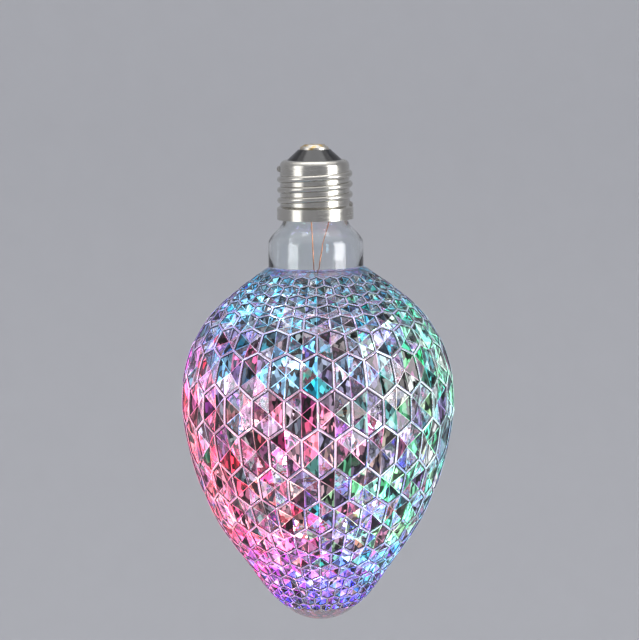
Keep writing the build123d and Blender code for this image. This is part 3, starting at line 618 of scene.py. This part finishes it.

# Light in the wall, all of it painted light: real facets bend the lights' glow every way. Here each facet
# carries painted glints of the lights near it, a painted hot spot where a light lies straight behind it, and
# stray painted white. Each ridge carries a painted highlight, a pale mix of white and the hue around it,
# uneven side by side. The teal shoulder, violet tip and pink dome are painted light set for the look, not
# worked out.
GLINT_REACH = 13 * MM
GLINT_STRENGTH = 1.4
GLINT_SKEW = 5
STRAY_WHITE_GLINT = 1.3
STRAY_SKEW = 7
HOT_REACH = 4.5 * MM
HOT_LIGHT = 3.4
HOT_WHITENESS = 0.2
HOT_LEAST = 0.4
HOT_SPREAD = 1.2
RIDGE_HIGHLIGHT_WHITE = np.array(linear("#FFF2FA")[:3])
RIDGE_LIGHTS = np.array([-0.6, 0.38])
LEAST_RIDGE_LIGHT = 0.04
RIDGE_HIGHLIGHT_TINT = 0.55
SIDE_LEAST = 0.02
SIDE_SPREAD = 3.18
SIDE_SKEW = 2.5
PIPED_REACH = 38 * MM
PIPED_SKEW = 2
END_DIMMING = 0.95
SHOULDER_LIGHT = np.array(linear("#0090B8")[:3]) * 1.1
TIP_LIGHT = np.array(linear("#2C1CFF")[:3]) * 1.7
DOME_LIGHT = np.array(linear("#FF6C78")[:3]) * 0.2
FOOT_LIGHT = SHOULDER_LIGHT * 0.5
FOOT_STRIPS = 3
dice = np.random.default_rng(7)


def light_at(places, uneven):
    """Light at each place: the sum over the lights of colour * share / (1 + d^2 / reach^2)^1.5,
    where the share is 1, or a skewed random number with a mean of 1."""
    gap_squared = ((places[:, None] - light_places[None]) ** 2).sum(-1)
    near = (1 + gap_squared / GLINT_REACH ** 2) ** -1.5
    share = (GLINT_SKEW + 1) * dice.random(near.shape) ** GLINT_SKEW if uneven else 1.0
    return (near * share) @ light_colours


def end_shares(places):
    """How far each place belongs to the shoulder and to the tip: (1 - distance / reach)^1.5."""
    shoulder = np.clip(1 + (places[:, 2:] - JUNCTION_Z) / PIPED_REACH, 0, 1) ** 1.5
    tip = np.clip(1 - (places[:, 2:] - TIP_Z) / PIPED_REACH, 0, 1) ** 1.5
    return shoulder, tip


def with_piped(light, places, uneven):
    """Light plus painted light at the wall's two ends, as if piped there: light * (1 - dimming * end's share)
    + share * end's share * end's colour, where the share is 1 or random with a mean of 1."""
    shoulder, tip = end_shares(places)
    share = (PIPED_SKEW + 1) * dice.random((len(places), 1)) ** PIPED_SKEW if uneven else 1.0
    piped = share * (shoulder * SHOULDER_LIGHT + tip * TIP_LIGHT)
    return light * (1 - END_DIMMING * (shoulder + tip)) + piped


def hot_spots(places):
    """Light of the hot spots: the sum over the lights of colour * share * exp(-d^2 / reach^2),
    where d is the distance from the point of the wall level with the light, outside it."""
    wall_radius = np.interp(-light_places[:, 2], -body_curve[:, 1], body_curve[:, 0])
    light_turns = np.arctan2(light_places[:, 0], -light_places[:, 1])
    spots = spun(wall_radius, light_places[:, 2], light_turns)
    gap_squared = ((places[:, None] - spots[None]) ** 2).sum(-1)
    share = HOT_LEAST + HOT_SPREAD * dice.random(gap_squared.shape)
    hue = light_colours / light_colours.max(1, keepdims=True)
    colour = HOT_LIGHT * (HOT_WHITENESS + (1 - HOT_WHITENESS) * hue)
    return (np.exp(-gap_squared / HOT_REACH ** 2) * share) @ colour


seam_ends = cells[:, :, inner_ring[::SIDE_STEPS]]
facet_middles = ((seam_ends + np.roll(seam_ends, -1, axis=2)) / 2).reshape(-1, 3)
facet_glow = with_piped(GLINT_STRENGTH * light_at(facet_middles, True), facet_middles, True)
facet_glow += STRAY_WHITE_GLINT * dice.random((len(facet_middles), 1)) ** STRAY_SKEW
facet_glow += hot_spots(facet_middles)
cell_middles = cells[:, :, -1].reshape(-1, 3)
cell_count = len(cell_middles)
cell_glow = with_piped(light_at(cell_middles, False), cell_middles, False)
cell_hue = cell_glow / cell_glow.max(1, keepdims=True)
row_light = np.maximum(tapered(RIDGE_LIGHTS, row_middles), LEAST_RIDGE_LIGHT)
cell_light = np.repeat(row_light, CELLS_ROUND)[:, None]
ridge_glow = cell_light * ((1 - RIDGE_HIGHLIGHT_TINT) * RIDGE_HIGHLIGHT_WHITE + RIDGE_HIGHLIGHT_TINT * cell_hue)
side_light = SIDE_LEAST + SIDE_SPREAD * dice.random((cell_count, 6, 1, 1)) ** SIDE_SKEW

# A cell's faces lie in strips: the crown's first, which takes the painted ridge highlight, then the two of
# the ridge's flank, which stay dark, then the facets' strips, and the fan at the centre.
FIRST_FACET_STRIP = len(RIDGE_SHARES) - 1
strips = (cell_count, ring_count - 1, 6, SIDE_STEPS)
strip_glow = np.zeros((*strips, 3))
strip_glow[:, 0] = ridge_glow.reshape(cell_count, 1, 1, 3) * side_light
strip_glow[:, FIRST_FACET_STRIP:] = facet_glow.reshape(cell_count, 1, 6, 1, 3)
fan_glow = np.broadcast_to(facet_glow.reshape(cell_count, 6, 1, 3), (cell_count, 6, SIDE_STEPS, 3))
upper_faces = COLUMNS * (len(upper_grid) - 1)
foot_band = slice(upper_faces - FOOT_STRIPS * COLUMNS, upper_faces)
plain_glow = np.zeros((len(plain_quads), 3))
plain_glow[foot_band] = FOOT_LIGHT
plain_glow[upper_faces:] = DOME_LIGHT
pole_glow = np.zeros((len(plain_fans), 3))
pole_glow[COLUMNS:] = DOME_LIGHT
face_glow = np.concatenate([strip_glow.reshape(-1, 3), plain_glow, fan_glow.reshape(-1, 3), pole_glow])

# Painted shade, set as the wall's clearness: facets that throw their light aside look dark from most sides,
# and so do the steep flanks of each ridge, the band under the neck, and the two crowded ends. The dome is
# painted half as clear as the plain neck.
FLANK_PAINTED_CLEAR = 0.01
FOOT_PAINTED_CLEAR = 0.15
DOME_PAINTED_CLEAR = 0.5
PAINTED_CLEAR_SPREAD = 1.4
PAINTED_CLEAR_SKEW = 4.5
SHOULDER_PAINTED_SHADE = 1.0
TIP_PAINTED_SHADE = 0.8
facet_painted_clear = np.minimum(PAINTED_CLEAR_SPREAD * dice.random((cell_count, 6)) ** PAINTED_CLEAR_SKEW, 1)
shoulder, tip = end_shares(facet_middles)
facet_painted_clear *= (1 - SHOULDER_PAINTED_SHADE * shoulder - TIP_PAINTED_SHADE * tip).reshape(cell_count, 6)
strip_painted_clear = np.ones(strips)
strip_painted_clear[:, 1:FIRST_FACET_STRIP] = FLANK_PAINTED_CLEAR
strip_painted_clear[:, FIRST_FACET_STRIP:] = facet_painted_clear[:, None, :, None]
fan_painted_clear = np.repeat(facet_painted_clear.reshape(-1), SIDE_STEPS)
plain_painted_clear = np.ones(len(plain_quads))
plain_painted_clear[foot_band] = FOOT_PAINTED_CLEAR
plain_painted_clear[upper_faces:] = DOME_PAINTED_CLEAR
face_painted_clear = np.concatenate([strip_painted_clear.reshape(-1), plain_painted_clear, fan_painted_clear, np.ones(len(plain_fans))])

# The layer holds the painted light in its colour and the painted shade, as clearness, in its alpha, the same
# at every corner of a face: four corners for a quad, and three in a fan.
face_corners = np.repeat([4, 3], [len(quads), len(fans)])
painted_wall_light_and_shade = np.repeat(np.column_stack([face_glow, face_painted_clear]), face_corners, axis=0)
layer = mesh.color_attributes.new("painted_light_and_shade", "FLOAT_COLOR", "CORNER")
layer.data.foreach_set("color", painted_wall_light_and_shade.astype(np.float32).reshape(-1))

# Pressed lines: the ridges' crowns and the seams between facets carry painted highlights, fine pale lines.
# Each point holds 1 on such a line, so that the glass finds the distance from it.
CROWN_RINGS = 2
on_line = over_wall((ring_of < CROWN_RINGS) | seam).astype(np.float32)
mesh.attributes.new("pressed_line", "FLOAT", "POINT").data.foreach_set("value", on_line)

# Glass: clear soda glass with the slow ripple of a blown wall. Its painted light is broken into slanting
# splinters, as by the facets behind, but stays whole along the pressed lines, where the painted highlight
# comes and goes in patches. Its base colour carries the painted shade.
PRESS_RIPPLE = 6 * MM
SPLINTER = 1.25 * MM
SPLINTER_CONTRAST = 3.2
SPLINTER_LEAN = (0.5, 0.35, 0.0)
SPLINTER_STRETCH = 0.4
LINE_EDGE = 0.84
LINE_SOFTNESS = 0.06
LINE_LIGHT = 0.05
PATCH_BAND = (0.35, 0.65)
PATCH_LIGHTS = (0.35, 1.6)
clear_glass, shader = new_material("clear_mould_blown_glass_painted_light", IOR=1.5, Transmission_Weight=1.0,
                                   Emission_Strength=1.0)
place = add_node(clear_glass, "ShaderNodeTexCoord")
ripple = add_node(clear_glass, "ShaderNodeTexNoise", Scale=1 / PRESS_RIPPLE, Detail=2.0,
                  links={"Vector": place.outputs["Object"]})
smear = add_node(clear_glass, "ShaderNodeMapRange", To_Min=0.0, To_Max=0.03,
                 links={"Value": ripple.outputs["Fac"]})
bump = add_node(clear_glass, "ShaderNodeBump", Strength=0.15, Distance=0.2 * MM,
                links={"Height": ripple.outputs["Fac"]})
carried = add_node(clear_glass, "ShaderNodeAttribute", {"attribute_name": "painted_light_and_shade"})
slant = add_node(clear_glass, "ShaderNodeMapping", Rotation=SPLINTER_LEAN, Scale=(1, 1, SPLINTER_STRETCH),
                 links={"Vector": place.outputs["Object"]})
splinters = add_node(clear_glass, "ShaderNodeTexVoronoi", {}, {"Vector": slant.outputs["Vector"]},
                     Scale=1 / SPLINTER)
split = add_node(clear_glass, "ShaderNodeSeparateColor", {}, {"Color": splinters.outputs["Color"]})
spark = add_node(clear_glass, "ShaderNodeMath", {"operation": "POWER"}, {0: split.outputs["Red"]})
spark.inputs[1].default_value = SPLINTER_CONTRAST
lines = add_node(clear_glass, "ShaderNodeAttribute", {"attribute_name": "pressed_line"})
line = add_node(clear_glass, "ShaderNodeMapRange", From_Min=LINE_EDGE, From_Max=LINE_EDGE + LINE_SOFTNESS,
                links={"Value": lines.outputs["Fac"]})
patches = add_node(clear_glass, "ShaderNodeMapRange", From_Min=PATCH_BAND[0], From_Max=PATCH_BAND[1],
                   To_Min=PATCH_LIGHTS[0], To_Max=PATCH_LIGHTS[1], links={"Value": ripple.outputs["Fac"]})
shine = add_node(clear_glass, "ShaderNodeMath", {"operation": "MULTIPLY"},
                 {0: line.outputs["Result"], 1: patches.outputs["Result"]})
whole = add_node(clear_glass, "ShaderNodeMath", {"operation": "MAXIMUM"},
                 {0: spark.outputs["Value"], 1: shine.outputs["Value"]})
broken = add_node(clear_glass, "ShaderNodeVectorMath", {"operation": "SCALE"},
                  {0: carried.outputs["Color"], "Scale": whole.outputs["Value"]})
# Painted highlight: a faint even glow along the pressed lines.
painted_line_highlight = add_node(clear_glass, "ShaderNodeMath", {"operation": "MULTIPLY"}, {0: line.outputs["Result"]})
painted_line_highlight.inputs[1].default_value = LINE_LIGHT
lit = add_node(clear_glass, "ShaderNodeVectorMath", {"operation": "ADD"},
               {0: broken.outputs["Vector"], 1: painted_line_highlight.outputs["Value"]})
# Base colour: the glass's own tint times the clearness in the layer's alpha, which is painted shade.
clear = add_node(clear_glass, "ShaderNodeVectorMath", {"operation": "SCALE"},
                 {"Scale": carried.outputs["Alpha"]})
clear.inputs[0].default_value = linear("#F7FAFB")[:3]
clear_glass.node_tree.links.new(clear.outputs["Vector"], shader.inputs["Base Color"])
clear_glass.node_tree.links.new(smear.outputs["Result"], shader.inputs["Roughness"])
clear_glass.node_tree.links.new(bump.outputs["Normal"], shader.inputs["Normal"])
clear_glass.node_tree.links.new(lit.outputs["Vector"], shader.inputs["Emission Color"])
mesh.materials.append(clear_glass)
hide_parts("envelope")
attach(envelope, "root")

# Stage: a round paper sweep, pale grey, whose floor bends up into a wall on all sides. Two
# large soft boxes and a top light stand in it, and an even room light fills the rest.
SWEEP_RADIUS = 1.7
SWEEP_BEND = 0.7
SWEEP_TOP = 1.9
FLOOR_Z = -0.75
FLOOR_RINGS = [0.4, 0.8]
BEND_STEPS = 16
SWEEP_COLUMNS = 96
bend = np.linspace(-math.pi / 2, 0, BEND_STEPS)
bend_r = SWEEP_RADIUS - SWEEP_BEND + SWEEP_BEND * np.cos(bend)
bend_z = FLOOR_Z + SWEEP_BEND + SWEEP_BEND * np.sin(bend)
sweep_r = np.concatenate([FLOOR_RINGS, bend_r, [SWEEP_RADIUS]])
sweep_z = np.concatenate([[FLOOR_Z, FLOOR_Z], bend_z, [SWEEP_TOP]])
round_turn = np.linspace(0, 2 * math.pi, SWEEP_COLUMNS, endpoint=False)
sweep_grid = spun(sweep_r[::-1, None], sweep_z[::-1, None], round_turn[::-1])
sweep_points = np.vstack([sweep_grid.reshape(-1, 3), [(0, 0, FLOOR_Z)]])
sweep_last = len(sweep_points) - 1 - len(round_turn)
ring = np.arange(len(round_turn))
sweep_fan = np.stack([sweep_last + ring, np.full(len(ring), len(sweep_points) - 1),
                      sweep_last + (ring + 1) % len(ring)], -1)
sweep = make_mesh("paper_sweep", sweep_points, grid_faces(len(sweep_r), len(ring)), sweep_fan)
paper, shader = new_material("matte_grey_paper", Roughness=0.95, Specular_IOR_Level=0.2)
place = add_node(paper, "ShaderNodeTexCoord")
fibre = add_node(paper, "ShaderNodeTexNoise", Scale=1 / (25 * MM), Detail=2.0,
                 links={"Vector": place.outputs["Object"]})
tint = add_node(paper, "ShaderNodeValToRGB", links={"Fac": fibre.outputs["Fac"]})
tint.color_ramp.elements[0].color = linear("#BFC0C4")
tint.color_ramp.elements[1].color = linear("#C2C3C7")
paper.node_tree.links.new(tint.outputs["Color"], shader.inputs["Base Color"])
sweep.data.materials.append(paper)

ROOM_STRENGTH = 1.84
world = bpy.data.worlds.new("soft_room")
bpy.context.scene.world = world
world.use_nodes = True
room = world.node_tree.nodes["Background"]
room.inputs["Color"].default_value = linear("#CACACC")
room.inputs["Strength"].default_value = ROOM_STRENGTH


def soft_box(name, place, aim, width, height, power):
    """Rectangular area light at a place, turned to face its aim."""
    lamp = bpy.data.lights.new(name, "AREA")
    lamp.shape = "RECTANGLE"
    lamp.size = width
    lamp.size_y = height
    lamp.energy = power
    holder = bpy.data.objects.new(name, lamp)
    bpy.context.scene.collection.objects.link(holder)
    holder.location = place
    holder.rotation_euler = (Vector(aim) - Vector(place)).to_track_quat("-Z", "Y").to_euler()


bulb_middle = (0.0, 0.0, -0.06)
soft_box("left_soft_box", (-0.95, -0.6, 0.2), bulb_middle, width=0.6, height=0.9, power=3.5)
soft_box("right_soft_box", (0.95, -0.5, 0.15), bulb_middle, width=0.55, height=0.9, power=11.0)
soft_box("top_soft_box", (0.0, 0.1, 1.1), bulb_middle, width=0.9, height=0.5, power=3.0)

# Camera: a long lens at the photograph's height, looking a little down from the front. Its
# aim and roll put the bulb where it is in the picture, whose longer side is 640 pixels.
CAMERA_DISTANCE = 910 * MM
CAMERA_TILT = math.radians(7)
CAMERA_ROLL = math.radians(-0.84)
CAMERA_AIM = Vector((0.94, 0.0, -35.55)) * MM
IMAGE_SIDE = 640
FOCAL_PIXELS = 2600
SENSOR_WIDTH = 36.0
FARTHEST = 20.0
camera = bpy.data.cameras.new("front_camera")
camera.sensor_width = SENSOR_WIDTH
camera.lens = SENSOR_WIDTH * FOCAL_PIXELS / IMAGE_SIDE
camera.clip_end = FARTHEST
viewer = bpy.data.objects.new("front_camera", camera)
bpy.context.scene.collection.objects.link(viewer)
back = Vector((0.0, -math.cos(CAMERA_TILT), math.sin(CAMERA_TILT)))
viewer.location = CAMERA_AIM + back * CAMERA_DISTANCE
viewer.rotation_mode = "QUATERNION"
viewer.rotation_quaternion = (-back).to_track_quat("-Z", "Y") @ Quaternion((0, 0, 1), CAMERA_ROLL)
bpy.context.scene.camera = viewer
bpy.context.scene.view_settings.view_transform = "Standard"
